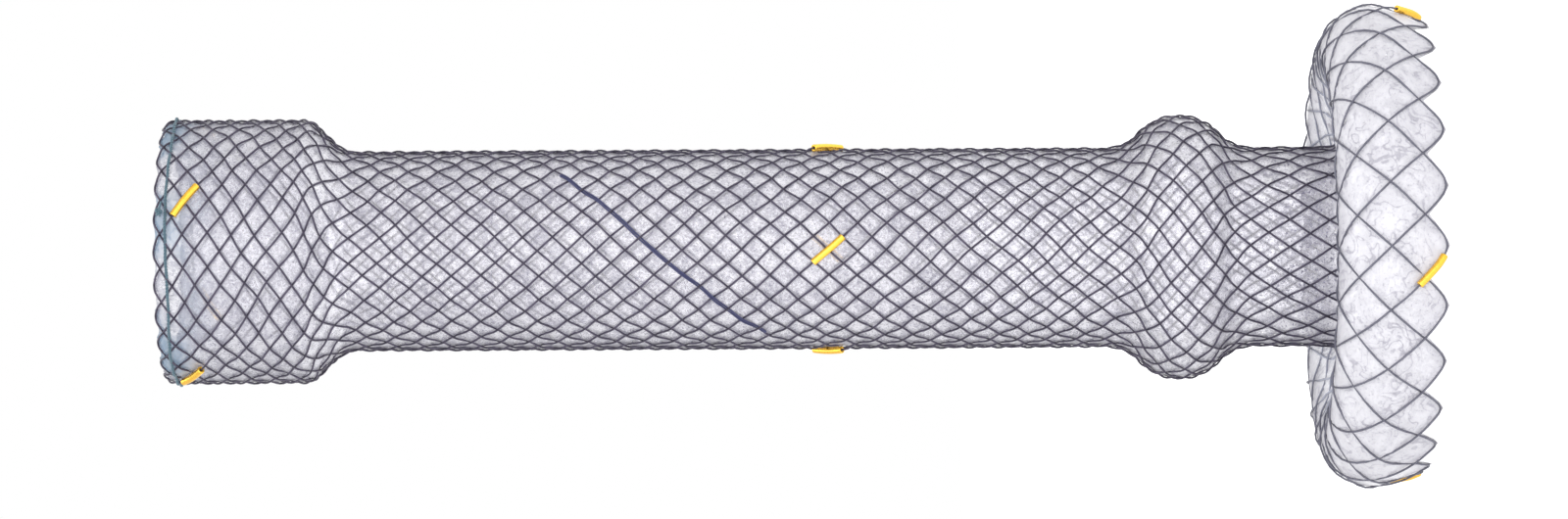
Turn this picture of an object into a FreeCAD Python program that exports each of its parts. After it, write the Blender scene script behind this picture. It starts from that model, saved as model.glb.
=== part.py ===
"""Covered, braided fistula occlusion stent: flare, long tube, bulb, neck and a wide cup flange.

Millimetres. +Z is the axis, from the flange's rim at z = 0 up to the flare's rim.
The braid is two long wires that turn back at the crowns of both rims. Their left-hand
runs lie in the inner layer and their right-hand runs in the outer one.
"""
import FreeCAD, Part
import math
import os

# Outline of the braid's outer side
overall_length = 125.7
tube_diameter = 20.1
flare_diameter = 26.5
flare_length = 19.5
flare_rim_radius = 1.6
flare_rim_turn = math.radians(62)
shoulder_slope = math.radians(45)
shoulder_crown_radius = 2.0
shoulder_foot_radius = 3.3
bulb_diameter = 26.6
bulb_length = 14.8
bulb_height = 24.6
bulb_crown_radius = 5.6
neck_fillet = 1.8
flange_diameter = 48.4
flange_depth = 10.8
flange_roll_radius = 5.3
flange_side_lean = math.radians(19.3)
flange_back_lean = math.radians(25.2)

# Wire, film, markers and thread
wire_diameter = 0.24
layer_gap = 0.06
chord_allowance = 0.29
film_thickness = 0.12
film_overhang = 0.35
notch_depth = 1.7
notch_tip_width = 0.9
marker_length = 4.0
marker_wall = 0.07
marker_clearance = 0.03
thread_diameter = 0.25
thread_turn = math.radians(2)

# Braid: cells along each stretch from the flare's rim to the flange's, and segments per wire there
crowns = 24
rim_cells, rim_segments = 0.67, 2
flare_cells, flare_segments = 5.4, 4
shoulder_crown_cells, shoulder_crown_segments = 0.75, 1
shoulder_slope_cells, shoulder_slope_segments = 0.85, 1
shoulder_foot_cells, shoulder_foot_segments = 0.9, 1
upper_body_cells, upper_body_segments = 16.43, 9
lower_body_cells, lower_body_segments = 9.7, 6
bulb_foot_cells, bulb_foot_segments = 1.2, 1
bulb_crown_cells, bulb_crown_segments = 3.2, 4
neck_cells, neck_segments = 1.8, 2
neck_foot_cells, neck_foot_segments = 0.8, 2
flange_back_cells, flange_back_segments = 1.7, 1
flange_roll_cells, flange_roll_segments = 1.65, 4
flange_side_cells, flange_side_segments = 0.75, 2

# Where the markers' centres and the wires' overlaps lie
markers_per_station = 4
flare_marker_row, flare_marker_turn = 1.5, -22.5
middle_marker_row, middle_marker_turn = 25.0, 0.0
flange_marker_row, flange_marker_turn = 46.5, 7.5
overlap_first_level, overlap_last_level = 13, 17
overlap_runs = (5, 18)

# Values worked out from the dimensions above
tube_radius = tube_diameter / 2
flare_radius = flare_diameter / 2
bulb_radius = bulb_diameter / 2
flange_radius = flange_diameter / 2
cell_turn = 2 * math.pi / crowns
round_to_reach = math.sqrt(math.pi / (0.75 * math.sqrt(3))) / 2
wire_reach = round_to_reach * wire_diameter
wire_foot = wire_reach / 2
thread_reach = round_to_reach * thread_diameter
sleeve_hole_reach = wire_reach + 2 * marker_clearance
sleeve_reach = sleeve_hole_reach + 2 * marker_wall
outer_layer = -wire_reach
inner_layer = outer_layer - sleeve_reach / 2 - layer_gap - wire_reach
film_outside = inner_layer - wire_foot - chord_allowance
film_inside = film_outside - film_thickness


def normal(angle):
    """Outward direction in the (radius, height) plane."""
    return math.cos(angle), math.sin(angle)


class Bend:
    """Arc of the outline. A negative radius has its centre outside the tube."""

    def __init__(self, centre_r, centre_z, radius, start, end):
        self.centre = (centre_r, centre_z)
        self.radius = radius
        self.start = start
        self.end = end

    def at(self, angle, offset):
        across, up = normal(angle)
        reach = self.radius + offset
        return self.centre[0] + reach * across, self.centre[1] + reach * up


def tangent_height(known, radius, centre_r, own_radius, angle):
    """Height of a bend's centre, so that one straight line touches it and the known bend."""
    across, up = normal(angle)
    level = known[0] * across + known[1] * up + radius
    return (level - own_radius - centre_r * across) / up


def make_bends():
    """The outline's arcs, from the flare's rim down to the flange."""
    foot = (tube_radius + shoulder_foot_radius, overall_length - flare_length)
    crown_r = flare_radius - shoulder_crown_radius
    crown_z = tangent_height(foot, -shoulder_foot_radius, crown_r, shoulder_crown_radius, -shoulder_slope)
    rim_r = flare_radius - flare_rim_radius
    rim_z = overall_length - flare_rim_radius * math.sin(flare_rim_turn)

    rise = bulb_radius - tube_radius
    bulb_slope = 2 * math.atan2(rise, bulb_length / 2)
    bulb_foot_radius = bulb_length / 2 / math.sin(bulb_slope) - bulb_crown_radius
    bulb_foot_r = tube_radius + bulb_foot_radius
    bulb_crown_r = bulb_radius - bulb_crown_radius

    back = math.pi / 2 + flange_back_lean
    roll = (flange_radius - flange_roll_radius, flange_depth - flange_roll_radius)
    neck_r = tube_radius + neck_fillet
    neck_z = tangent_height(roll, flange_roll_radius, neck_r, -neck_fillet, back)
    return [
        Bend(rim_r, rim_z, flare_rim_radius, flare_rim_turn, 0),
        Bend(crown_r, crown_z, shoulder_crown_radius, 0, -shoulder_slope),
        Bend(foot[0], foot[1], -shoulder_foot_radius, -shoulder_slope, 0),
        Bend(bulb_foot_r, bulb_height + bulb_length / 2, -bulb_foot_radius, 0, bulb_slope),
        Bend(bulb_crown_r, bulb_height, bulb_crown_radius, bulb_slope, -bulb_slope),
        Bend(bulb_foot_r, bulb_height - bulb_length / 2, -bulb_foot_radius, -bulb_slope, 0),
        Bend(neck_r, neck_z, -neck_fillet, 0, back),
        Bend(roll[0], roll[1], flange_roll_radius, back, -flange_side_lean),
    ]


bends = make_bends()


def rim_point(offset, height):
    """Point of the flange's straight side at a height."""
    radius, top = bends[-1].at(bends[-1].end, offset)
    return radius - (top - height) * math.tan(flange_side_lean), height


def middle_height():
    """Height of the middle markers, which divides the tube's two stretches of braid."""
    top = bends[2].centre[1]
    bottom = bends[3].centre[1]
    share = upper_body_cells / (upper_body_cells + lower_body_cells)
    return top + (bottom - top) * share


def bend_levels(bend, cells, segments, first_angle=None):
    """Braid levels round a bend: cells since the last level, and the place as a function of the offset."""
    start = bend.start if first_angle is None else first_angle
    levels = []
    for step in range(1, segments + 1):
        angle = start + (bend.end - start) * step / segments
        levels.append((cells / segments, angle, bend.at(angle, 0)))
    return levels


def straight_levels(last, target, cells, segments):
    """Braid levels along a straight stretch, from the last level to a target point."""
    angle, (start_r, start_z) = last[1], last[2]
    levels = []
    for step in range(1, segments + 1):
        share = step / segments
        place = (start_r + (target[0] - start_r) * share, start_z + (target[1] - start_z) * share)
        levels.append((cells / segments, angle, place))
    return levels


def braid_levels():
    """Every level at which the wires have a corner: its row, its outward angle and its (radius, height)."""
    rim, crown, foot, bulb_top, bulb, bulb_bottom, neck, roll = bends
    first_angle = rim.start - film_overhang / flare_rim_radius
    steps = [(0, first_angle, rim.at(first_angle, 0))]
    steps += bend_levels(rim, rim_cells, rim_segments, first_angle)
    steps += straight_levels(steps[-1], crown.at(crown.start, 0), flare_cells, flare_segments)
    steps += bend_levels(crown, shoulder_crown_cells, shoulder_crown_segments)
    steps += straight_levels(steps[-1], foot.at(foot.start, 0), shoulder_slope_cells, shoulder_slope_segments)
    steps += bend_levels(foot, shoulder_foot_cells, shoulder_foot_segments)
    steps += straight_levels(steps[-1], (tube_radius, middle_height()), upper_body_cells, upper_body_segments)
    steps += straight_levels(steps[-1], bulb_top.at(0, 0), lower_body_cells, lower_body_segments)
    steps += bend_levels(bulb_top, bulb_foot_cells, bulb_foot_segments)
    steps += bend_levels(bulb, bulb_crown_cells, bulb_crown_segments)
    steps += bend_levels(bulb_bottom, bulb_foot_cells, bulb_foot_segments)
    steps += straight_levels(steps[-1], neck.at(0, 0), neck_cells, neck_segments)
    steps += bend_levels(neck, neck_foot_cells, neck_foot_segments)
    steps += straight_levels(steps[-1], roll.at(roll.start, 0), flange_back_cells, flange_back_segments)
    steps += bend_levels(roll, flange_roll_cells, flange_roll_segments)
    side_end = rim_point(0, film_overhang)
    steps += straight_levels(steps[-1], side_end, flange_side_cells, flange_side_segments)
    levels = []
    row = 0
    for cells, angle, place in steps:
        row += cells
        levels.append((row, angle, place))
    return levels


levels = braid_levels()
last_row = round(levels[-1][0])


def space(radius, height, turn):
    """Point at a radius and height, turned from the front."""
    return FreeCAD.Vector(-radius * math.sin(turn), -radius * math.cos(turn), height)


def outward(angle, turn):
    """Outward unit vector of the surface."""
    across, up = normal(angle)
    return FreeCAD.Vector(-across * math.sin(turn), -across * math.cos(turn), up)


def on_braid(level, turn, offset):
    """A wire's corner, with the surface's outward direction there."""
    row, angle, (radius, height) = level
    across, up = normal(angle)
    point = space(radius + offset * across, height + offset * up, turn)
    return point, outward(angle, turn)


def run_turn(run, row, hand):
    """Turn from the front of one run at a row. Hand +1 is the inner, left-hand layer."""
    return cell_turn * (run + hand * row)


def overlap_shift():
    """Turn that lays two stretches of wire side by side, without touching."""
    body_pitch = (bends[2].centre[1] - bends[3].centre[1]) / (upper_body_cells + lower_body_cells)
    lead = math.atan2(body_pitch, tube_radius * cell_turn)
    half_width = wire_reach * math.cos(math.pi / 6) + layer_gap / 2
    return half_width / (tube_radius * math.sin(lead))


def run_corner(index, run, hand, shift=0):
    """Corner of a run at a level. The layers meet half-way at the crowns."""
    row = levels[index][0]
    layer = inner_layer if hand > 0 else outer_layer
    if index in (0, len(levels) - 1):
        layer = (inner_layer + outer_layer) / 2
    return on_braid(levels[index], run_turn(run, row, hand) + shift, layer)


def wire_corners(start_run):
    """Corners of one whole wire, from its free end round every run to its other free end."""
    beside = range(overlap_first_level, overlap_last_level + 1)
    shift = overlap_shift()
    corners = [run_corner(index, start_run, 1, shift) for index in beside]
    corners += [run_corner(index, start_run, 1) for index in range(beside[-1] + 1, len(levels))]
    run = start_run + 2 * last_row
    while run % crowns != start_run % crowns:
        corners += [run_corner(index, run, -1) for index in range(len(levels) - 2, -1, -1)]
        corners += [run_corner(index, run, 1) for index in range(1, len(levels))]
        run += 2 * last_row
    corners += [run_corner(index, run, -1) for index in range(len(levels) - 2, -1, -1)]
    corners += [run_corner(index, run, 1) for index in range(1, beside[0])]
    corners += [run_corner(index, run, 1, -shift) for index in beside]
    return corners


def ring(before, corner, after, reach):
    """Triangle about one corner of a bar, mitred between its neighbours."""
    point, out = corner
    into = (point - before).normalize() if before else (after - point).normalize()
    away = (after - point).normalize() if after else into
    along = (into + away).normalize()
    out = (out - along * out.dot(along)).normalize()
    side = along.cross(out)
    mitre = 1 / along.dot(into)
    points = []
    for place in range(3):
        angle = math.pi / 2 + place * 2 * math.pi / 3
        points.append(point + side * (reach * math.cos(angle) * mitre) + out * (reach * math.sin(angle)))
    return points


def rings_along(corners, reach, closed=False):
    """One ring for each corner of a bar."""
    rings = []
    for index, corner in enumerate(corners):
        before = corners[index - 1][0] if closed or index > 0 else None
        after = corners[(index + 1) % len(corners)][0] if closed or index < len(corners) - 1 else None
        rings.append(ring(before, corner, after, reach))
    return rings


def skin(first, second, inward):
    """Two flat triangles for each side between two neighbouring rings of three corners."""
    faces = []
    for place in range(3):
        a, b = first + place, first + (place + 1) % 3
        c, d = second + place, second + (place + 1) % 3
        sides = [(a, b, c), (b, d, c)]
        faces += [(p, r, q) for p, q, r in sides] if inward else sides
    return faces


def close_solid(points, faces):
    """One solid inside flat triangles."""
    shape = Part.Shape()
    shape.makeShapeFromMesh(([tuple(point) for point in points], faces), 1e-5)
    solid = Part.makeSolid(shape)
    return solid if solid.Volume > 0 else solid.reversed()


def bar(corners, reach, closed=False):
    """Three-sided bar along a row of corners."""
    rings = rings_along(corners, reach, closed)
    count = len(rings)
    faces = []
    for index in range(count if closed else count - 1):
        faces += skin(3 * index, 3 * ((index + 1) % count), False)
    if not closed:
        faces += [(0, 2, 1), (3 * count - 3, 3 * count - 2, 3 * count - 1)]
    return close_solid(sum(rings, []), faces)


def sleeve(rings):
    """Three-sided sleeve about a stretch of wire, given the wire's own rings."""
    points = []
    for points_of_ring in rings:
        centre = (points_of_ring[0] + points_of_ring[1] + points_of_ring[2]) / 3
        for reach in (sleeve_reach, sleeve_hole_reach):
            points += [centre + (point - centre) * (reach / wire_reach) for point in points_of_ring]
    faces = []
    for index in range(len(rings) - 1):
        faces += skin(6 * index, 6 * index + 6, False)
        faces += skin(6 * index + 3, 6 * index + 9, True)
    last = 6 * len(rings) - 6
    for place in range(3):
        follow = (place + 1) % 3
        faces += [(place, place + 3, follow), (follow, place + 3, follow + 3)]
        faces += [(last + place, last + follow, last + place + 3),
                  (last + follow, last + follow + 3, last + place + 3)]
    return close_solid(points, faces)


def marker(row, turn):
    """Sleeve on the outer run that passes a row at a turn from the front."""
    run = turn / cell_turn + row
    above = run_corner(1, run, 1)
    below = run_corner(len(levels) - 2, run - 2 * last_row, 1)
    corners = [above] + [run_corner(index, run, -1) for index in range(len(levels))] + [below]
    rings = rings_along(corners, wire_reach)[1:-1]
    places = [corner[0] for corner in corners[1:-1]]
    lengths = [0]
    for index in range(1, len(places)):
        lengths.append(lengths[-1] + (places[index] - places[index - 1]).Length)

    def ring_at(distance):
        index = max(place for place in range(len(places) - 1) if lengths[place] <= distance)
        share = (distance - lengths[index]) / (lengths[index + 1] - lengths[index])
        return [a + (b - a) * share for a, b in zip(rings[index], rings[index + 1])]

    index = max(place for place in range(len(places) - 1) if levels[place][0] <= row)
    share = (row - levels[index][0]) / (levels[index + 1][0] - levels[index][0])
    middle = lengths[index] + share * (lengths[index + 1] - lengths[index])
    low, high = middle - marker_length / 2, middle + marker_length / 2
    inside = [ring for ring, length in zip(rings, lengths) if low < length < high]
    return sleeve([ring_at(low)] + inside + [ring_at(high)])


def outline_edges(offset):
    """Edges of the outline at an offset, from the flare's rim to the flange's rim."""
    edges = []
    last = None
    for bend in bends:
        start = bend.at(bend.start, offset)
        middle = bend.at((bend.start + bend.end) / 2, offset)
        end = bend.at(bend.end, offset)
        if last and math.dist(last, start) > 1e-6:
            edges.append(Part.LineSegment(flat(last), flat(start)).toShape())
        edges.append(Part.Arc(flat(start), flat(middle), flat(end)).toShape())
        last = end
    edges.append(Part.LineSegment(flat(last), flat(rim_point(offset, 0))).toShape())
    return edges


def flat(place):
    """Point of the section plane."""
    return FreeCAD.Vector(place[0], 0, place[1])


def notch(turn):
    """Wedge that opens the film between two crowns of the flange's rim."""
    rim_radius = rim_point(0, 0)[0]
    half_width = rim_radius * cell_turn / 2 - notch_tip_width / 2
    slope = notch_depth / half_width
    below = notch_depth
    wide = half_width + below / slope
    corners = [(-wide, -below), (wide, -below), (0, notch_depth)]
    points = [FreeCAD.Vector(across, -flange_radius, up) for across, up in corners]
    profile = Part.Face(Part.makePolygon(points + points[:1]))
    wedge = profile.extrude(FreeCAD.Vector(0, flange_radius / 2, 0))
    wedge.rotate(FreeCAD.Vector(0, 0, 0), FreeCAD.Vector(0, 0, 1), -math.degrees(turn))
    return wedge


def make_cover():
    """Silicone film: one turned skin with a zigzag flange rim."""
    outside = outline_edges(film_outside)
    inside = outline_edges(film_inside)
    rims = [
        Part.LineSegment(flat(bends[0].at(bends[0].start, film_outside)),
                         flat(bends[0].at(bends[0].start, film_inside))).toShape(),
        Part.LineSegment(flat(rim_point(film_outside, 0)), flat(rim_point(film_inside, 0))).toShape(),
    ]
    wire = Part.Wire(Part.__sortEdges__(outside + inside + rims))
    skin_solid = Part.Face(wire).revolve(FreeCAD.Vector(0, 0, 0), FreeCAD.Vector(0, 0, 1), 360)
    wedges = [notch(cell_turn * (crown + 0.5)) for crown in range(crowns)]
    return skin_solid.cut(Part.makeCompound(wedges)).Solids[0]


def make_thread():
    """Retrieval thread: a ring on top of the wires just inside the flare's rim."""
    radius, height = bends[0].at(thread_turn, thread_reach / 2 + layer_gap)
    corners = []
    for crown in range(crowns):
        turn = cell_turn * (crown + 0.5)
        corners.append((space(radius / math.cos(cell_turn / 2), height, turn), outward(thread_turn, turn)))
    return bar(corners, thread_reach, closed=True)


def save(shape, node):
    """One STEP file for a node, with a line about its size."""
    shape.exportStep("parts/" + node + ".step")
    box = shape.BoundBox
    print(node, "valid", shape.isValid(), "volume", round(shape.Volume, 3), "faces", len(shape.Faces),
          "z", round(box.ZMin, 3), round(box.ZMax, 3))


os.makedirs("parts", exist_ok=True)
save(make_cover(), "cover")
for number, run in enumerate(overlap_runs, 1):
    save(bar(wire_corners(run), wire_reach), "braid_wire_%d" % number)
stations = {
    "flare": (flare_marker_row, flare_marker_turn),
    "middle": (middle_marker_row, middle_marker_turn),
    "flange": (flange_marker_row, flange_marker_turn),
}
for station, (row, degrees) in stations.items():
    for number in range(markers_per_station):
        turn = math.radians(degrees) + 2 * math.pi * number / markers_per_station
        save(marker(row, turn), "%s_marker_%d" % (station, number + 1))
save(make_thread(), "retrieval_thread")
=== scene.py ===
"""Covered, braided fistula occlusion stent: its looks, a plain studio and the camera.

Lengths are in millimetres and become metres in the meshes. +Z is the axis, from the
flange's rim up to the flare's rim. A place on the braid is a row, counted in cells from
the flare's rim, and a turn, counted in cells from the front.
"""

import math
from types import SimpleNamespace

import bpy
import numpy as np
from mathutils import Matrix, Vector


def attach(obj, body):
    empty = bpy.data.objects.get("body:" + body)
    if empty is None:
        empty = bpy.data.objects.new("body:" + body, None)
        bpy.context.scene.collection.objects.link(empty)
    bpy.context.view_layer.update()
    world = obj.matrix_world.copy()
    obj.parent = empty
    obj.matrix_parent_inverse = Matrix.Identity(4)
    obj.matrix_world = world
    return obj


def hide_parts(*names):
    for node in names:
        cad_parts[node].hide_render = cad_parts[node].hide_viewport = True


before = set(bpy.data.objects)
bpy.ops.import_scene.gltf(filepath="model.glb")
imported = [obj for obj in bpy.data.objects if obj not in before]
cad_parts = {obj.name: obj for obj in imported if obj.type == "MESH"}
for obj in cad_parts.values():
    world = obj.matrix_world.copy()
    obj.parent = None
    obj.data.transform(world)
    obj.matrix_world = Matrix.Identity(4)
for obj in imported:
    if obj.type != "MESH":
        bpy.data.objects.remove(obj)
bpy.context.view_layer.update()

MM = 0.001
SEED = 11

# Outline of the braid's outer side
overall_length = 125.7
tube_radius = 10.05
flare_radius = 13.25
flare_length = 19.5
flare_rim_radius = 1.6
flare_rim_turn = math.radians(62)
shoulder_slope = math.radians(45)
shoulder_crown_radius = 2.0
shoulder_foot_radius = 3.3
bulb_radius = 13.3
bulb_length = 14.8
bulb_height = 24.6
bulb_crown_radius = 5.6
neck_fillet = 1.8
flange_radius = 24.2
flange_depth = 10.8
flange_roll_radius = 5.3
flange_side_lean = math.radians(19.3)
flange_back_lean = math.radians(25.2)
rim_overhang = 0.35
stretch_points = 60

# Braid: cells along each stretch from the flare's rim to the flange's
crowns = 24
rim_cells = 0.67
flare_cells = 5.4
shoulder_crown_cells = 0.75
shoulder_slope_cells = 0.85
shoulder_foot_cells = 0.9
body_cells = 26.13
bulb_foot_cells = 1.2
bulb_crown_cells = 3.2
neck_cells = 1.8
neck_foot_cells = 0.8
flange_back_cells = 1.7
flange_roll_cells = 1.65
flange_side_cells = 0.75
last_row = 47
cell_turn = 2 * math.pi / crowns
row_blur = 0.45
row_blur_reach = 3
table_step = 0.02

# Unevenness of the cells: waves round and along the braid, stronger on the flare
unevenness = 0.028
uneven_waves = 9
uneven_turns = (2, 9)
uneven_pitch = 0.33
uneven_rim_rows = (0.3, 2.5)
uneven_flare_extra = 1.3
uneven_flare_rows = (7.5, 10.5)

# Wires, with offsets outward from the outline and reaches in cells
wire_radius = 0.102
wire_sides = 8
braid_middle = -0.24
weave = 0.125
weave_start = 0.4
crown_sharpness = 0.22
crown_reach = 0.6
crown_fade_rows = (1.0, 3.0)
rings_per_cell = 8
crown_rings = 25
crown_gap = 0.02

# Overlapping ends of the wires: rows, first run of each wire and spacing in wire radii
overlap_rows = (15.7, 22.8)
overlap_runs = (5, 18)
overlap_spacing = 1.08
overlap_lean = math.radians(47)
overlap_lead = 0.2
overlap_fade = 0.7

# Rows where the looks change: onto the flange, and onto and off its back, where painted light makes the film
# and the wires paler
pale_rows = (42.0, 42.5)
back_rows = (42.3, 42.8, 43.9, 44.9)

# Markers: row and turn of the first of four, at each station
marker_sites = {"flare": (1.5, -1.5), "middle": (25.0, 0.0), "flange": (46.6, 0.4)}
marker_reach = {"flare": 0.62, "middle": 0.62, "flange": 0.35}
markers_per_station = 4
marker_length = 3.9
marker_radius = 0.37
marker_lift = 0.30
marker_bore = 0.13
marker_chamfer = 0.05
marker_clearance = 0.02
marker_ease = 0.28
marker_dip = 0.17
marker_line_width = 0.01
marker_search = 0.9
marker_samples = 200
marker_rings = 22
marker_sides = 20
marker_aim = 0.05

# Film
film_outside = -0.30
film_thickness = 0.08
film_steps = 6
film_sag = 0.14
sag_sharpness = 0.6
sag_spread = 0.35
flare_scallop = 0.22
flare_scallop_turns = (0.05, 0.5)
flange_notch = 1.02
notch_sharpness = 0.10

# Thread, its knot and the side lean and length of each tail
thread_row = 0.74
thread_wander = 0.04
thread_wanders = 5
thread_lift = 0.12
thread_swing = 0.17
thread_rings_per_cell = 40
thread_twists = 5.5
ply_radius = 0.095
ply_spacing = 0.9
ply_sides = 6
knot_row = 0.42
knot_turn = -1.15
knot_lift = 0.12
knot_scale = 0.11
knot_rings = 72
knot_strand_radius = ply_radius * 1.1
knot_sides = 8
tails = ((1.0, 1.3), (-0.7, 0.9))
tail_rings = 14
tail_across = 0.75
tail_drop = 0.25
tail_lift = 0.12

# Looks of the wires: colours from the darkest grain to the palest, with painted light on the flange's back,
# and shares of the darker spots
wire_grain = (900.0, 3.0)
wire_pits = (6000.0, 2.0)
tube_wire = ((0.016, 0.013, 0.024), (0.105, 0.093, 0.135))
flange_wire = ((0.065, 0.065, 0.09), (0.16, 0.16, 0.20))
# Painted light: a paler, bluish wire colour for the flange's back
back_wire_painted_light = ((0.26, 0.275, 0.34), (0.46, 0.475, 0.56))
crossing_wire = (0.012, 0.01, 0.02)
crossing_share = 0.75
crossing_sharpness = 6
crossing_flange_fade = 0.7
overlap_wire = (0.045, 0.05, 0.12)
overlap_share = 0.75
wire_relief = (0.25, 0.00003)

# Looks of the film: noises as scale, detail, roughness and distortion, with the range that shows
film_grain = (3400.0, 3.0, 0.6, 0.4)
film_mottle = (700.0, 2.0, 0.5, 0.6)
grain_share = 0.6
tone_range = (0.38, 0.60)
speck_noise = (4600.0, 1.0)
speck_range = (0.41, 0.31)
fold_noise = (430.0, 1.5, 0.45, 1.6)
fold_range = (0.036, 0.014)
fold_patches = (330.0, 1.0)
fold_patch_range = (0.38, 0.54)
blue_patches = (160.0, 2.0)
blue_patch_range = (0.36, 0.58)

# Rows of the film's tints and of the flare's painted shade, and the distance from a wire's line where its
# bead shows
flare_shade_rows = (8.5, 6.5)
rim_tint_rows = (3.6, 1.4)
blue_rows = (2.0, 0.6)
neck_shade_rows = (40.2, 41.2)
bead_range = (0.15, 0.02)

# Colours of the film, from the darkest grain to the palest, with painted shade on the flare and painted
# light on the flange's back
body_film = ((0.45, 0.442, 0.50), (1.0, 0.99, 1.0))
flange_film = ((0.67, 0.664, 0.70), (0.82, 0.815, 0.845))
# Painted light: a near-white film colour for the flange's back
back_film_painted_light = (0.97, 0.97, 0.99)
# Painted shade: a darker film colour laid over the flare
flare_painted_shade = (0.42, 0.42, 0.48)
rim_film = (0.34, 0.37, 0.44)
speck_film = (0.20, 0.19, 0.26)
bead_film = (0.22, 0.21, 0.30)
fold_film = (0.40, 0.39, 0.45)
blue_film = (0.20, 0.34, 0.47)
clear_film = (0.955, 0.953, 0.972)

# Shares of the film's tints and of the flare's painted shade. A pair is for the tube and for the flange
flare_shade_share = 0.25
rim_share = 0.3
blue_share = 0.7
speck_shares = (0.75, 0.35)
neck_speck_share = 0.25
bead_shares = (0.5, 0.12)
fold_shares = (0.12, 0.65)

# Cover, the share of the film that isn't see-through: tone_cover from the darkest grain to the
# palest, and bead_cover from the tube to the flange
tone_cover = (0.34, 0.17)
flange_cover = 0.60
bead_cover = (0.25, 0.1)
speck_cover = 0.2
neck_speck_cover = 0.5
blue_cover = 0.25
rim_cover = 0.08
fold_cover = 0.35

# Light through the film and off it, and its relief: strength and distance in metres
through_share = 0.45
gloss_share = 0.6
film_relief = (0.35, 0.00012)

# Looks of the gold and the thread
gold_marks = (3500.0, 3.0, 0.6)
gold_colours = ((0.84, 0.46, 0.045), (1.0, 0.62, 0.10))
gold_mark_range = (0.2, 0.8)
gold_roughness = (0.2, 0.38)
gold_relief = (0.2, 0.00003)
thread_fibres = (9000.0, 2.0, 0.6)
thread_colours = ((0.018, 0.052, 0.078), (0.055, 0.12, 0.155))
thread_relief = (0.4, 0.00004)

# Studio and camera. Places and sizes are in metres, and a light has place, target, size and watts
floor_radius = 1.5
floor_drop = 0.00002
floor_sides = 96
floor_grey = (0.45, 0.45, 0.45)
floor_glow = 0.88
lights = {"above": ((0.0, 0.0, 0.9), (0.0, 0.0, 0.0), 0.6, 3.2),
          "front": ((-0.05, -0.8, 0.10), (0.0, 0.0, 0.05), 1.2, 9.5)}
camera_place = (-0.00103, -0.575, 0.0639)
camera_roll = math.radians(-0.30)
camera_lens = 132.6
camera_sensor = 36
camera_clip = 0.01


def soft_step(value, low, high):
    """0 below low, 1 above high and smooth between."""
    share = np.clip((value - low) / (high - low), 0, 1)
    return share * share * (3 - 2 * share)


def uneven(row, turn):
    """Row and turn shifted a little, as a hand-woven braid's cells are not all alike."""
    random = np.random.default_rng(SEED)
    room = soft_step(np.minimum(row, last_row - row), *uneven_rim_rows)
    on_flare = soft_step(-row, -uneven_flare_rows[1], -uneven_flare_rows[0])
    room = room * (1 + uneven_flare_extra * on_flare)
    shifts = []
    for _ in range(2):
        shift = 0.0
        for _ in range(uneven_waves):
            around = int(random.integers(*uneven_turns)) * 2 * math.pi / crowns
            along = random.uniform(-uneven_pitch, uneven_pitch) * 2 * math.pi
            start = random.uniform(0, 2 * math.pi)
            shift = shift + np.sin(around * turn + along * row + start)
        shifts.append(unevenness * room * shift / math.sqrt(uneven_waves / 2))
    return row + shifts[0], turn + shifts[1]


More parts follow.
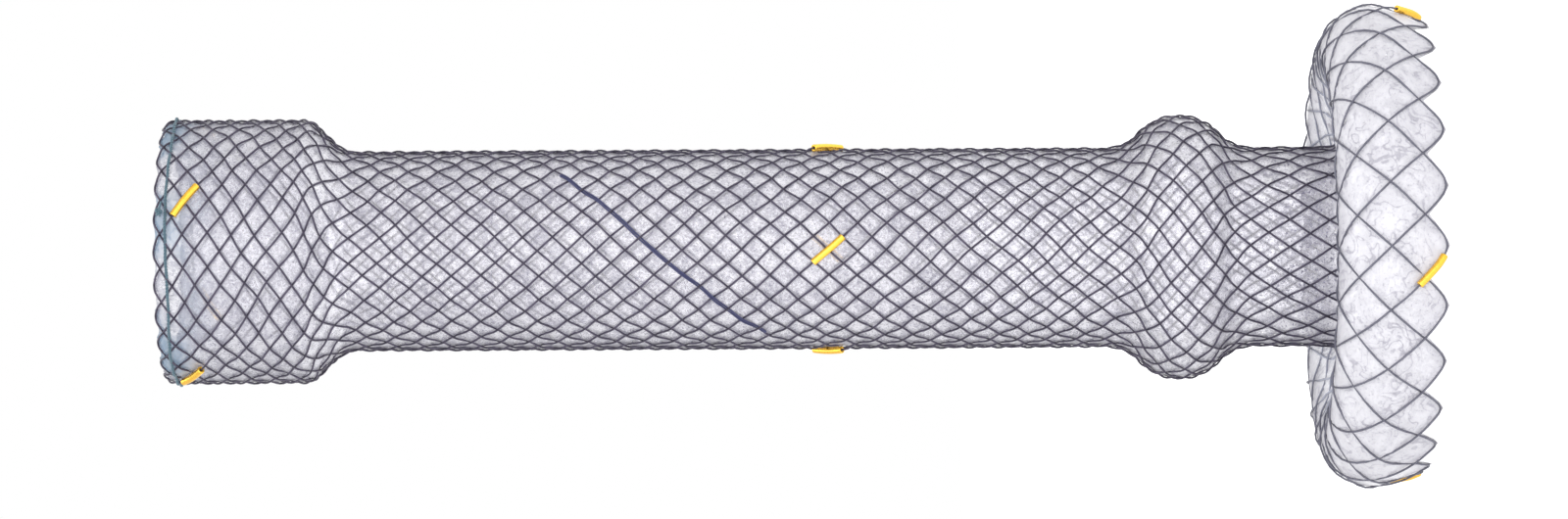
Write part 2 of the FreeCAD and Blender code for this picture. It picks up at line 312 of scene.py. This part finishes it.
class Outline:
    """The outline as a fine table: radius, height and outward angle at each row."""

    def __init__(self):
        self.row, self.radius, self.height, self.angle = [], [], [], []
        self.first_row = 0
        self.build_flare()
        self.build_tube()
        self.build_flange()
        self.smooth()

    def last(self):
        """Radius, height and outward angle at the end of the last stretch."""
        return self.radius[-1][-1], self.height[-1][-1], self.angle[-1][-1]

    def bend(self, centre_r, centre_z, radius, start, end, cells):
        """Arc about a centre. A negative radius has its centre outside the tube."""
        angle = np.linspace(start, end, stretch_points)
        self.add(centre_r + radius * np.cos(angle), centre_z + radius * np.sin(angle), angle, cells)

    def line(self, radius, height, cells):
        """Straight stretch to a point."""
        last_r, last_z, angle = self.last()
        share = np.linspace(0, 1, stretch_points)
        radii = last_r + (radius - last_r) * share
        heights = last_z + (height - last_z) * share
        self.add(radii, heights, np.full(stretch_points, angle), cells)

    def add(self, radius, height, angle, cells):
        """Stretch of some cells, after the one before."""
        start = self.row[-1][-1] if self.row else self.first_row
        self.row.append(np.linspace(start, start + cells, len(radius)))
        self.radius.append(radius)
        self.height.append(height)
        self.angle.append(angle)

    def build_flare(self):
        """Rim that curls in, straight flare and shoulder."""
        rim_r = flare_radius - flare_rim_radius
        rim_z = overall_length - flare_rim_radius * math.sin(flare_rim_turn)
        rim_extra = rim_cells * rim_overhang / (flare_rim_radius * flare_rim_turn - rim_overhang)
        self.first_row = -rim_extra
        self.bend(rim_r, rim_z, flare_rim_radius, flare_rim_turn, 0, rim_cells + rim_extra)

        foot_r = tube_radius + shoulder_foot_radius
        foot_z = overall_length - flare_length
        crown_r = flare_radius - shoulder_crown_radius
        across, up = math.cos(shoulder_slope), -math.sin(shoulder_slope)
        both = shoulder_crown_radius + shoulder_foot_radius
        crown_z = foot_z + ((foot_r - crown_r) * across - both) / up
        slope_r = foot_r - shoulder_foot_radius * across
        slope_z = foot_z - shoulder_foot_radius * up
        self.line(flare_radius, crown_z, flare_cells)
        self.bend(crown_r, crown_z, shoulder_crown_radius, 0, -shoulder_slope, shoulder_crown_cells)
        self.line(slope_r, slope_z, shoulder_slope_cells)
        self.bend(foot_r, foot_z, -shoulder_foot_radius, -shoulder_slope, 0, shoulder_foot_cells)

    def build_tube(self):
        """Long straight tube and bulb."""
        rise = bulb_radius - tube_radius
        slope = 2 * math.atan2(rise, bulb_length / 2)
        foot_radius = bulb_length / 2 / math.sin(slope) - bulb_crown_radius
        foot_r = tube_radius + foot_radius
        crown_r = bulb_radius - bulb_crown_radius
        top = bulb_height + bulb_length / 2
        bottom = bulb_height - bulb_length / 2
        self.line(tube_radius, top, body_cells)
        self.bend(foot_r, top, -foot_radius, 0, slope, bulb_foot_cells)
        self.bend(crown_r, bulb_height, bulb_crown_radius, slope, -slope, bulb_crown_cells)
        self.bend(foot_r, bottom, -foot_radius, -slope, 0, bulb_foot_cells)

    def build_flange(self):
        """Neck, the flange's back, its roll and its side."""
        back = math.pi / 2 + flange_back_lean
        roll_r = flange_radius - flange_roll_radius
        roll_z = flange_depth - flange_roll_radius
        neck_r = tube_radius + neck_fillet
        across, up = math.cos(back), math.sin(back)
        neck_z = roll_z + ((roll_r - neck_r) * across + flange_roll_radius + neck_fillet) / up
        back_r = roll_r + flange_roll_radius * across
        back_z = roll_z + flange_roll_radius * up
        self.line(tube_radius, neck_z, neck_cells)
        self.bend(neck_r, neck_z, -neck_fillet, 0, back, neck_foot_cells)
        self.line(back_r, back_z, flange_back_cells)
        self.bend(roll_r, roll_z, flange_roll_radius, back, -flange_side_lean, flange_roll_cells)
        side_r, side_z, _ = self.last()
        side_extra = flange_side_cells * rim_overhang / (side_z - rim_overhang)
        foot_r = side_r - side_z * math.tan(flange_side_lean)
        self.line(foot_r, 0, flange_side_cells + side_extra)

    def smooth(self):
        """Makes the cells' length change softly along the outline."""
        stretches = (self.row, self.radius, self.height, self.angle)
        row, radius, height, angle = map(np.concatenate, stretches)
        along = np.concatenate([[0], np.cumsum(np.hypot(np.diff(radius), np.diff(height)))])
        fine = np.arange(row[0], row[-1] + table_step / 2, table_step)
        arc = np.interp(fine, row, along)
        reach = int(row_blur_reach * row_blur / table_step)
        kernel = np.exp(-0.5 * (np.arange(-reach, reach + 1) * table_step / row_blur) ** 2)
        before = 2 * arc[0] - arc[reach:0:-1]
        after = 2 * arc[-1] - arc[-2:-reach - 2:-1]
        soft = np.convolve(np.concatenate([before, arc, after]), kernel / kernel.sum(), "valid")
        self.row = fine
        self.radius = np.interp(soft, along, radius)
        self.height = np.interp(soft, along, height)
        self.angle = np.interp(soft, along, angle)

    def point(self, row, turn, offset):
        """Point on the braid, moved outward by an offset."""
        row, turn = uneven(row, turn)
        angle = np.interp(row, self.row, self.angle)
        reach = np.interp(row, self.row, self.radius) + offset * np.cos(angle)
        height = np.interp(row, self.row, self.height) + offset * np.sin(angle)
        theta = turn * cell_turn
        return np.stack([-reach * np.sin(theta), -reach * np.cos(theta), height], axis=-1)

    def outward(self, row, turn):
        """Outward unit vector."""
        angle = np.interp(row, self.row, self.angle)
        theta = turn * cell_turn
        across = np.cos(angle)
        return np.stack([-across * np.sin(theta), -across * np.cos(theta), np.sin(angle)], axis=-1)


outline = Outline()


def wrapped(value):
    """A difference of turns, in cells, brought to between -12 and 12."""
    return (value + crowns / 2) % crowns - crowns / 2


def marker_turns(turn):
    """Turns of a station's markers, from the first one's."""
    return [turn + number * crowns / markers_per_station for number in range(markers_per_station)]


def marker_lines():
    """Row, line and reach of every marker. A line is a turn plus its row, the same all along a wire."""
    return [(row, first + row, marker_reach[station])
            for station, (row, turn) in marker_sites.items() for first in marker_turns(turn)]


def weave_offset(bare_row, turn, hand):
    """Offset of a wire's centre. It passes over and under its crossings, and dips below the markers."""
    from_crown = np.minimum(bare_row, last_row - bare_row)
    settled = soft_step(from_crown, 0.0, weave_start)
    offset = hand * weave * np.cos(2 * math.pi * bare_row) * settled
    below = marker_lift - marker_radius - wire_radius - marker_clearance
    for marker_row, line, reach in marker_lines():
        gap = wrapped(turn + bare_row - line)
        on_marker = (hand < 0) & (np.abs(gap) < marker_line_width)
        off_marker = soft_step(np.abs(bare_row - marker_row), reach, reach + marker_ease)
        held = on_marker * (1 - off_marker) * settled
        offset = offset + (marker_lift - offset) * held
        crossing_row = bare_row - gap / 2
        near = (hand > 0) & (np.abs(crossing_row - marker_row) < reach) & (np.abs(gap) < 1)
        dipped = near * np.exp(-(gap / 2 / marker_dip) ** 2) * settled
        offset = offset + (below - offset) * dipped
    return braid_middle + offset


def wire_line(start_run, travel):
    """Rows, rows before the crowns' rounding, turns and offsets along a wire, by the cells travelled."""
    lap = travel % (2 * last_row)
    outbound = lap <= last_row
    bare_row = np.where(outbound, lap, 2 * last_row - lap)
    hand = np.where(outbound, 1, -1)
    from_crown = np.minimum(bare_row, last_row - bare_row)
    rounding = np.hypot(from_crown, crown_sharpness) - from_crown
    rounding -= crown_sharpness * np.exp(-(from_crown / crown_reach) ** 2)
    rounding *= 1 - soft_step(from_crown, *crown_fade_rows)
    row = bare_row + np.where(bare_row < last_row / 2, rounding, -rounding)
    turn = start_run + travel
    return row, bare_row, turn, weave_offset(bare_row, turn, hand)


def unit(vectors):
    """Vectors brought to length 1."""
    return vectors / np.linalg.norm(vectors, axis=-1, keepdims=True)


def directions(points, closed=False):
    """Unit vectors along a row of points."""
    if closed:
        return unit(np.roll(points, -1, axis=0) - np.roll(points, 1, axis=0))
    return unit(np.gradient(points, axis=0))


def ring_corners(points, along, outward, radius, sides):
    """Rings of corners about points, square to the unit vectors along."""
    outward = unit(outward - along * np.sum(outward * along, axis=1, keepdims=True))
    across = np.cross(along, outward)
    angle = (2 * math.pi * np.arange(sides) / sides)[None, :, None]
    radius = np.broadcast_to(radius, len(points))[:, None, None]
    spread = np.cos(angle) * across[:, None] + np.sin(angle) * outward[:, None]
    return points[:, None] + radius * spread


def grid_faces(first, second, flip=False):
    """Corner numbers of the quads between rings: first is how many rings, second their corners."""
    i = np.arange(first - 1)[:, None]
    j = np.arange(second)[None, :]
    k = (j + 1) % second
    corners = [i * second + j, i * second + k, (i + 1) * second + k, (i + 1) * second + j]
    quads = np.stack(np.broadcast_arrays(*corners), axis=-1).reshape(-1, 4)
    return quads[:, ::-1] if flip else quads


def round_bar(points, outward, radius, sides, closed=False):
    """Corners and faces of a round bar along points, closed on itself or capped at both ends."""
    ring = ring_corners(points, directions(points, closed), outward, radius, sides)
    count = len(ring)
    faces = [grid_faces(count + closed, sides, flip=True) % (count * sides)]
    if not closed:
        faces += [np.arange(sides)[None, ::-1], (count - 1) * sides + np.arange(sides)[None, :]]
    return ring.reshape(-1, 3), faces


def joined(parts):
    """Corners and faces of several meshes as one."""
    corners, faces = [], []
    base = 0
    for part_corners, part_faces in parts:
        corners.append(part_corners)
        faces += [face + base for face in part_faces]
        base += len(part_corners)
    return np.concatenate(corners), faces


def make_object(name, points, faces, material, uv=None, attributes=None, smooth=True):
    """Mesh object from corner points in millimetres. Faces are arrays of corner numbers."""
    mesh = bpy.data.meshes.new(name)
    mesh.from_pydata((points * MM).tolist(), [], [face for part in faces for face in part.tolist()])
    if uv is not None:
        layer = mesh.uv_layers.new(name="braid")
        layer.data.foreach_set("uv", np.asarray(uv, dtype=np.float32).ravel())
    for label, values in (attributes or {}).items():
        store = mesh.attributes.new(label, "FLOAT", "POINT")
        store.data.foreach_set("value", np.asarray(values, dtype=np.float32).ravel())
    mesh.polygons.foreach_set("use_smooth", [smooth] * len(mesh.polygons))
    mesh.materials.append(material)
    mesh.update()
    obj = bpy.data.objects.new(name, mesh)
    bpy.context.scene.collection.objects.link(obj)
    return obj


def finish_piece(obj, slot, *nodes):
    """Puts a piece on the part in place of its solids."""
    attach(obj, "root")
    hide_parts(*nodes)


class Nodes:
    """Short way to lay out a material's nodes."""

    def __init__(self, name):
        self.material = bpy.data.materials.new(name)
        self.material.use_nodes = True
        self.tree = self.material.node_tree
        self.tree.nodes.clear()
        self.output = self.tree.nodes.new("ShaderNodeOutputMaterial")

    def node(self, kind, settings=None, **inputs):
        """Node of a kind. An input's name has _ for each space."""
        made = self.tree.nodes.new("ShaderNode" + kind)
        for key, value in (settings or {}).items():
            setattr(made, key, value)
        for key, value in inputs.items():
            self.put(made.inputs[key.replace("_", " ")], value)
        return made

    def put(self, socket, value):
        """Links a socket to another, or sets its own value."""
        if isinstance(value, bpy.types.NodeSocket):
            self.tree.links.new(value, socket)
        elif isinstance(value, tuple) and len(value) == 3 and socket.type == "RGBA":
            socket.default_value = value + (1,)
        else:
            socket.default_value = value

    def math(self, operation, *values, clamp=False):
        """One step of arithmetic."""
        made = self.node("Math", {"operation": operation, "use_clamp": clamp})
        for socket, value in zip(made.inputs, values):
            self.put(socket, value)
        return made.outputs[0]

    def times(self, first, second):
        """Product of two values."""
        return self.math("MULTIPLY", first, second)

    def plus(self, first, second):
        """Sum of two values."""
        return self.math("ADD", first, second)

    def off(self, value, middle):
        """How far a value is from a middle one."""
        return self.math("ABSOLUTE", self.math("SUBTRACT", value, middle))

    def ramp(self, value, low, high, low_out=0.0, high_out=1.0):
        """Smooth change from one value to another between low and high."""
        made = self.node("MapRange", {"interpolation_type": "SMOOTHSTEP"})
        for socket, entry in zip(made.inputs, (value, low, high, low_out, high_out)):
            self.put(socket, entry)
        return made.outputs[0]

    def mix(self, share, first, second):
        """Colour mixed from two. A Mix node's colours are its inputs 6 and 7 and its output 2."""
        made = self.node("Mix", {"data_type": "RGBA"})
        self.put(made.inputs[0], share)
        self.put(made.inputs[6], first)
        self.put(made.inputs[7], second)
        return made.outputs[2]

    def blend(self, share, first, second):
        """Shader mixed from two."""
        made = self.node("MixShader", Fac=share)
        self.put(made.inputs[1], first.outputs[0])
        self.put(made.inputs[2], second.outputs[0])
        return made

    def noise(self, scale, detail=2.0, roughness=0.5, distortion=0.0):
        """Noise over the piece's own place in metres."""
        place = self.node("TexCoord").outputs["Object"]
        made = self.node("TexNoise", Vector=place, Scale=scale, Detail=detail, Roughness=roughness,
                         Distortion=distortion)
        return made.outputs[0]

    def bump(self, height, strength, distance):
        """Normal of a relief. The distance is in metres."""
        return self.node("Bump", Height=height, Strength=strength, Distance=distance).outputs[0]

    def attribute(self, name):
        """Value stored at the mesh's corners."""
        return self.node("Attribute", {"attribute_name": name}).outputs["Fac"]

    def done(self, shader):
        """The material, with a shader on its surface."""
        self.tree.links.new(shader.outputs[0], self.output.inputs["Surface"])
        return self.material


def wire_material():
    """Dark nickel-titanium under silicone: near black on the tube, greyer on the flange and paler on the
    flange's back from painted light.
    """
    n = Nodes("nitinol")
    grain = n.noise(*wire_grain)
    tube = n.mix(grain, *tube_wire)
    flange = n.mix(grain, *flange_wire)
    back = n.mix(grain, *back_wire_painted_light)
    colour = n.mix(n.attribute("pale"), tube, flange)
    # Painted light: wires on the flange's back are made paler
    colour = n.mix(n.attribute("back"), colour, back)
    colour = n.mix(n.times(n.attribute("crossing"), crossing_share), colour, crossing_wire)
    colour = n.mix(n.times(n.attribute("doubled"), overlap_share), colour, overlap_wire)
    shader = n.node("BsdfPrincipled", Base_Color=colour, Metallic=0.35, Roughness=0.42,
                    Specular_IOR_Level=0.25, Normal=n.bump(n.noise(*wire_pits), *wire_relief))
    return n.done(shader)


def film_masks(n):
    """Where each part of the film's looks shows, from 0 to 1."""
    place = n.node("UVMap", {"uv_map": "braid"}).outputs[0]
    split = n.node("SeparateXYZ", Vector=place)
    turn, row = split.outputs["X"], split.outputs["Y"]

    def from_line(value):
        """Distance from the nearest wire of one hand, in cells."""
        return n.off(n.math("FRACT", n.plus(value, 0.5)), 0.5)

    nearest = n.math("MINIMUM", from_line(n.math("SUBTRACT", turn, row)), from_line(n.plus(turn, row)))
    grain, mottle = n.noise(*film_grain), n.noise(*film_mottle)
    mixed = n.plus(n.times(grain, grain_share), n.times(mottle, 1 - grain_share))
    flange = n.ramp(row, *pale_rows)
    # Where painted light makes the film paler, on the flange's back
    back = n.times(n.ramp(row, back_rows[0], back_rows[1]), n.ramp(row, back_rows[3], back_rows[2]))
    shade = n.times(n.ramp(row, *neck_shade_rows), n.math("SUBTRACT", 1.0, flange))
    ridges = n.ramp(n.off(n.noise(*fold_noise), 0.5), *fold_range)
    folds = n.times(ridges, n.ramp(n.noise(*fold_patches), *fold_patch_range))
    blue = n.times(n.ramp(row, *blue_rows), n.ramp(n.noise(*blue_patches), *blue_patch_range))
    return SimpleNamespace(
        bead=n.ramp(nearest, *bead_range),
        grain=grain,
        mottle=mottle,
        tone=n.ramp(mixed, *tone_range),
        flange=flange,
        back=back,
        # Where the painted shade darkens the flare's film
        flare=n.ramp(row, *flare_shade_rows),
        rim=n.ramp(row, *rim_tint_rows),
        specks=n.ramp(n.noise(*speck_noise), *speck_range),
        shade=shade,
        folds=n.times(folds, n.ramp(flange, 0.0, 1.0, *fold_shares)),
        blue=blue,
    )


def film_colour(n, mask):
    """Grainy grey to white, darker on the flare from painted shade, bluish at its rim, smoother on the
    flange and paler on the flange's back from painted light.
    """
    # Painted light: the film on the flange's back is made paler
    pale = n.mix(mask.back, n.mix(mask.tone, *flange_film), back_film_painted_light)
    colour = n.mix(mask.flange, n.mix(mask.tone, *body_film), pale)
    # Painted shade: the film is darkened on the flare
    colour = n.mix(n.times(mask.flare, flare_shade_share), colour, flare_painted_shade)
    colour = n.mix(n.times(mask.rim, rim_share), colour, rim_film)
    speck_share = n.ramp(mask.flange, 0.0, 1.0, *speck_shares)
    speck_share = n.plus(speck_share, n.times(mask.shade, neck_speck_share))
    colour = n.mix(n.times(mask.specks, speck_share), colour, speck_film)
    bead_share = n.ramp(mask.flange, 0.0, 1.0, *bead_shares)
    colour = n.mix(n.times(mask.bead, bead_share), colour, bead_film)
    colour = n.mix(mask.folds, colour, fold_film)
    return n.mix(n.times(mask.blue, blue_share), colour, blue_film)


def film_cover(n, mask):
    """Share of the film that isn't see-through."""
    cover = n.ramp(mask.tone, 0.0, 1.0, *tone_cover)
    cover = n.plus(cover, n.times(mask.flange, flange_cover))
    cover = n.plus(cover, n.times(mask.bead, n.ramp(mask.flange, 0.0, 1.0, *bead_cover)))
    per_speck = n.plus(n.times(mask.shade, neck_speck_cover), speck_cover)
    cover = n.plus(cover, n.times(mask.specks, per_speck))
    cover = n.plus(cover, n.times(mask.blue, blue_cover))
    cover = n.plus(cover, n.times(mask.rim, rim_cover))
    return n.math("ADD", cover, n.times(mask.folds, fold_cover), clamp=True)


def film_material():
    """Milky silicone film: grainy and see-through, with a thicker, darker bead along each wire."""
    n = Nodes("silicone")
    mask = film_masks(n)
    colour = film_colour(n, mask)
    relief = n.plus(n.times(mask.grain, 0.5), n.times(mask.mottle, 0.5))
    normal = n.bump(relief, *film_relief)
    diffuse = n.node("BsdfDiffuse", Color=colour, Normal=normal)
    through = n.node("BsdfTranslucent", Color=colour, Normal=normal)
    clear = n.node("BsdfTransparent", Color=clear_film)
    skin = n.blend(film_cover(n, mask), clear, n.blend(through_share, diffuse, through))
    gloss = n.node("BsdfGlossy", Color=(1.0, 1.0, 1.0), Roughness=0.28, Normal=normal)
    shine = n.node("Fresnel", IOR=1.40, Normal=normal)
    return n.done(n.blend(n.times(shine.outputs[0], gloss_share), skin, gloss))


def gold_material():
    """Drawn gold tube, with fine marks along it."""
    n = Nodes("gold")
    marks = n.noise(*gold_marks)
    roughness = n.ramp(marks, *gold_mark_range, *gold_roughness)
    shader = n.node("BsdfPrincipled", Base_Color=n.mix(marks, *gold_colours), Metallic=1.0,
                    Roughness=roughness, Normal=n.bump(marks, *gold_relief))
    return n.done(shader)


def thread_material():
    """Blue-green polyester thread."""
    n = Nodes("thread")
    fibres = n.noise(*thread_fibres)
    shader = n.node("BsdfPrincipled", Base_Color=n.mix(fibres, *thread_colours), Roughness=0.62,
                    Sheen_Weight=0.3, Normal=n.bump(fibres, *thread_relief))
    return n.done(shader)


def wire_travel():
    """Cells travelled at each ring of a wire, closer together round the crowns."""
    laps = crowns // 2
    first = overlap_rows[0]
    last = laps * 2 * last_row + overlap_rows[1]
    plain = np.arange(first, last, 1 / rings_per_cell)
    from_crown = np.abs((plain + last_row / 2) % last_row - last_row / 2)
    plain = plain[from_crown > crown_reach + crown_gap]
    round_crown = np.linspace(-crown_reach, crown_reach, crown_rings)
    tight = [crown * last_row + round_crown for crown in range(1, 2 * laps + 1)]
    return np.sort(np.concatenate([plain, [last]] + tight))


def wire_marks(travel, bare_row, second_end):
    """Values stored along a wire for its looks: crossings, doubled ends, flange, and the flange's back where
    painted light shows.
    """
    crossing = (0.5 + 0.5 * np.cos(4 * math.pi * bare_row)) ** crossing_sharpness
    pale = soft_step(bare_row, *pale_rows)
    onto_back = soft_step(bare_row, back_rows[0], back_rows[1])
    off_back = soft_step(bare_row, back_rows[2], back_rows[3])
    marks = {
        "crossing": crossing * (1 - crossing_flange_fade * pale),
        "doubled": (travel < overlap_rows[1]) | (travel > second_end),
        "pale": pale,
        # Where painted light makes the wires paler, on the flange's back
        "back": onto_back * (1 - off_back),
    }
    return {label: np.repeat(values, wire_sides) for label, values in marks.items()}


def build_wire(number, start_run, material):
    """One wire of the braid, its two ends laid side by side on the tube."""
    travel = wire_travel()
    row, bare_row, turn, offset = wire_line(start_run, travel)
    first_fade = overlap_rows[1] - overlap_lead
    second_end = travel[-1] - (overlap_rows[1] - overlap_rows[0])
    on_first = 1 - soft_step(travel, first_fade, first_fade + overlap_fade)
    on_second = soft_step(travel, second_end - overlap_fade, second_end)
    beside = wire_radius * overlap_spacing / (tube_radius * math.sin(overlap_lean) * cell_turn)
    turn = turn + beside * (on_first - on_second)
    points = outline.point(row, turn, offset)
    corners, faces = round_bar(points, outline.outward(row, turn), wire_radius, wire_sides)
    marks = wire_marks(travel, bare_row, second_end)
    obj = make_object("wire_%d" % number, corners, faces, material, attributes=marks)
    finish_piece(obj, "nitinol_wire", "braid_wire_%d" % number)


def at_lengths(lengths, along, points):
    """Points at lengths along a line of points."""
    return np.stack([np.interp(lengths, along, points[:, axis]) for axis in range(3)], axis=-1)


def marker_section():
    """Lengths and radii of a marker's rings, from one end of its bore round the outside to the other."""
    inset = 2 * marker_chamfer
    barrel = np.linspace(inset, marker_length - inset, marker_rings)
    lengths = np.concatenate([[0, 0, marker_chamfer], barrel,
                              [marker_length - marker_chamfer, marker_length, marker_length]])
    radii = np.full(len(lengths), marker_radius)
    radii[[1, -2]] = marker_radius - marker_chamfer
    radii[[0, -1]] = marker_bore
    return lengths, radii


def build_marker(name, node, row, turn, material):
    """Gold sleeve with chamfered ends, bent along its wire."""
    line = turn + row
    travel = np.linspace(-marker_search, min(marker_search, last_row - row - crown_gap), marker_samples)
    lap_start = 2 * last_row * math.ceil(line / (2 * last_row) + 2)
    rows, _, turns, offset = wire_line(line - lap_start, lap_start - (row + travel))
    points = outline.point(rows, turns, offset)
    along = np.concatenate([[0], np.cumsum(np.linalg.norm(np.diff(points, axis=0), axis=1))])
    start = min(np.interp(0, travel, along) - marker_length / 2, along[-1] - marker_length)
    lengths, radii = marker_section()
    lengths = start + lengths
    ahead = at_lengths(lengths + marker_aim, along, points) - at_lengths(lengths - marker_aim, along, points)
    outward = outline.outward(np.interp(lengths, along, rows), np.interp(lengths, along, turns))
    ring = ring_corners(at_lengths(lengths, along, points), unit(ahead), outward, radii, marker_sides)
    bore = grid_faces(2, marker_sides)
    bore = np.where(bore >= marker_sides, bore + (len(lengths) - 2) * marker_sides, bore)
    faces = [grid_faces(len(lengths), marker_sides, flip=True), bore]
    obj = make_object(name, ring.reshape(-1, 3), faces, material)
    finish_piece(obj, "gold", node)


def film_edges(turn):
    """Rows at which the film ends at the flare's rim and at the flange's, by the turn."""
    from_crown = np.abs((turn + 0.5) % 1 - 0.5)
    flare_edge = outline.row[0] + flare_scallop * soft_step(from_crown, *flare_scallop_turns)
    notch = flange_notch * np.hypot(from_crown, notch_sharpness) - notch_sharpness
    return flare_edge, outline.row[-1] - notch


def film_grid(rows_count, turns_count):
    """Rows and turns of the film's corners, drawn out to its two edges."""
    row = np.linspace(0, last_row, rows_count)[:, None] + np.zeros((1, turns_count))
    turn = (np.arange(turns_count) / film_steps)[None, :] + np.zeros((rows_count, 1))
    flare_edge, flange_edge = film_edges(turn)
    row = np.where(row < 1, flare_edge + row * (1 - flare_edge), row)
    top = last_row - 1
    row = np.where(row > top, top + (row - top) * (flange_edge - top), row)
    return row, turn


def film_faces(rows_count, turns_count):
    """Faces of the film's two sides and two edges."""
    count = rows_count * turns_count
    quads = grid_faces(rows_count, turns_count)
    rim = np.arange(turns_count)
    ahead = (rim + 1) % turns_count
    far = (rows_count - 1) * turns_count
    flare_rim = np.stack([ahead, ahead + count, rim + count, rim], axis=-1)
    flange_rim = np.stack([far + rim, far + rim + count, far + ahead + count, far + ahead], axis=-1)
    return [quads, quads[:, ::-1] + count, flare_rim, flange_rim]


def build_film(material):
    """Thin closed skin, drawn in a little between the wires."""
    random = np.random.default_rng(SEED)
    rows_count = last_row * film_steps + 1
    turns_count = crowns * film_steps
    row, turn = film_grid(rows_count, turns_count)
    left = (turn - row) % 1
    right = (turn + row) % 1
    pillow = (16 * left * (1 - left) * right * (1 - right)) ** sag_sharpness
    sag = film_sag * pillow * (1 + sag_spread * random.standard_normal(row.shape))
    outer = outline.point(row, turn, film_outside - sag)
    inner = outline.point(row, turn, film_outside - sag - film_thickness)
    points = np.concatenate([outer.reshape(-1, 3), inner.reshape(-1, 3)])
    faces = film_faces(rows_count, turns_count)
    corner = np.concatenate(faces)
    column = corner % turns_count
    seam = (column == 0) & (column.max(axis=1, keepdims=True) == turns_count - 1)
    flat_turn = np.where(seam, crowns, column / film_steps)
    flat_row = row.reshape(-1)[corner % row.size]
    uv = np.stack([flat_turn, flat_row], axis=-1)
    obj = make_object("film", points, faces, material, uv=uv)
    finish_piece(obj, "silicone_film", "cover")


def thread_plies():
    """Two plies twisted round each other, in and out of the braid."""
    turn = np.arange(0, crowns, 1 / thread_rings_per_cell)
    row = thread_row + thread_wander * np.sin(2 * math.pi * turn * thread_wanders / crowns)
    swing = braid_middle + thread_lift + thread_swing * np.cos(2 * math.pi * (turn - 1 + row))
    core = outline.point(row, turn, swing)
    outward = outline.outward(row, turn)
    across = np.cross(directions(core, True), outward)
    twist = 2 * math.pi * turn * thread_twists
    plies = []
    for start in (0, math.pi):
        lean = np.cos(twist + start)[:, None] * outward + np.sin(twist + start)[:, None] * across
        strand = core + ply_radius * ply_spacing * lean
        plies.append(round_bar(strand, outward, ply_radius, ply_sides, True))
    return plies


def thread_knot():
    """Overhand knot on the thread, and its two cut tails."""
    centre = outline.point(knot_row, knot_turn, knot_lift)
    out = outline.outward(knot_row, knot_turn)
    side = unit(np.cross([0, 0, 1], out))
    up = np.cross(out, side)
    angle = np.linspace(0, 2 * math.pi, knot_rings, endpoint=False)[:, None]
    loop = (np.sin(angle) + 2 * np.sin(2 * angle)) * side
    loop = loop + (np.cos(angle) - 2 * np.cos(2 * angle)) * up - np.sin(3 * angle) * out
    outs = np.tile(out, (knot_rings, 1))
    parts = [round_bar(centre + knot_scale * loop, outs, knot_strand_radius, knot_sides, True)]
    share = np.linspace(0, 1, tail_rings)[:, None]
    for lean, length in tails:
        run = share * (tail_across * side * lean - tail_drop * up) + share ** 2 * tail_lift * out
        parts.append(round_bar(centre + length * run, outs[:tail_rings], knot_strand_radius, knot_sides))
    return parts


def build_thread(material):
    """Two-ply thread round the flare's rim, with its knot and tails."""
    corners, faces = joined(thread_plies() + thread_knot())
    obj = make_object("thread", corners, faces, material)
    finish_piece(obj, "thread", "retrieval_thread")


def build_pieces():
    """Everything that is on the part."""
    wires = wire_material()
    for number, run in enumerate(overlap_runs, 1):
        build_wire(number, run, wires)
    build_film(film_material())
    gold = gold_material()
    for station, (row, first) in marker_sites.items():
        for number, turn in enumerate(marker_turns(first), 1):
            node = "%s_marker_%d" % (station, number)
            build_marker("gold_" + node, node, row, turn, gold)
    build_thread(thread_material())


def area_light(name, place, target, size, power):
    """Round soft light, turned to a target."""
    light = bpy.data.lights.new(name, "AREA")
    light.shape = "DISK"
    light.size = size
    light.energy = power
    obj = bpy.data.objects.new(name, light)
    obj.location = place
    obj.rotation_euler = (Vector(place) - Vector(target)).to_track_quat("Z", "Y").to_euler()
    bpy.context.scene.collection.objects.link(obj)


def build_studio():
    """White room, a pale floor under the flange's rim and soft lights."""
    world = bpy.data.worlds.new("studio")
    world.use_nodes = True
    world.node_tree.nodes["Background"].inputs["Color"].default_value = (1, 1, 1, 1)
    world.node_tree.nodes["Background"].inputs["Strength"].default_value = 1.0
    bpy.context.scene.world = world
    bpy.context.scene.view_settings.view_transform = "Standard"

    n = Nodes("floor")
    shader = n.node("BsdfPrincipled", Base_Color=floor_grey, Roughness=0.8,
                    Emission_Color=(1.0, 1.0, 1.0), Emission_Strength=floor_glow)
    angle = 2 * math.pi * np.arange(floor_sides) / floor_sides
    depth = np.full(floor_sides, -floor_drop)
    disc = np.stack([floor_radius * np.cos(angle), floor_radius * np.sin(angle), depth], axis=-1)
    face = np.arange(floor_sides)[None, :]
    floor = make_object("floor", disc / MM, [face], n.done(shader), smooth=False)

    for name, (place, target, size, power) in lights.items():
        area_light(name, place, target, size, power)


def build_camera():
    """Looks along +Y with the part's axis across the picture, the flare at its left."""
    camera = bpy.data.cameras.new("camera")
    camera.sensor_width = camera_sensor
    camera.lens = camera_lens
    camera.clip_start = camera_clip
    obj = bpy.data.objects.new("camera", camera)
    right = (math.sin(camera_roll), 0, -math.cos(camera_roll))
    up = (math.cos(camera_roll), 0, math.sin(camera_roll))
    back = (0, -1, 0)
    turned = Matrix((right, up, back)).transposed().to_4x4()
    obj.matrix_world = Matrix.Translation(camera_place) @ turned
    bpy.context.scene.collection.objects.link(obj)
    bpy.context.scene.camera = obj


build_pieces()
build_studio()
build_camera()
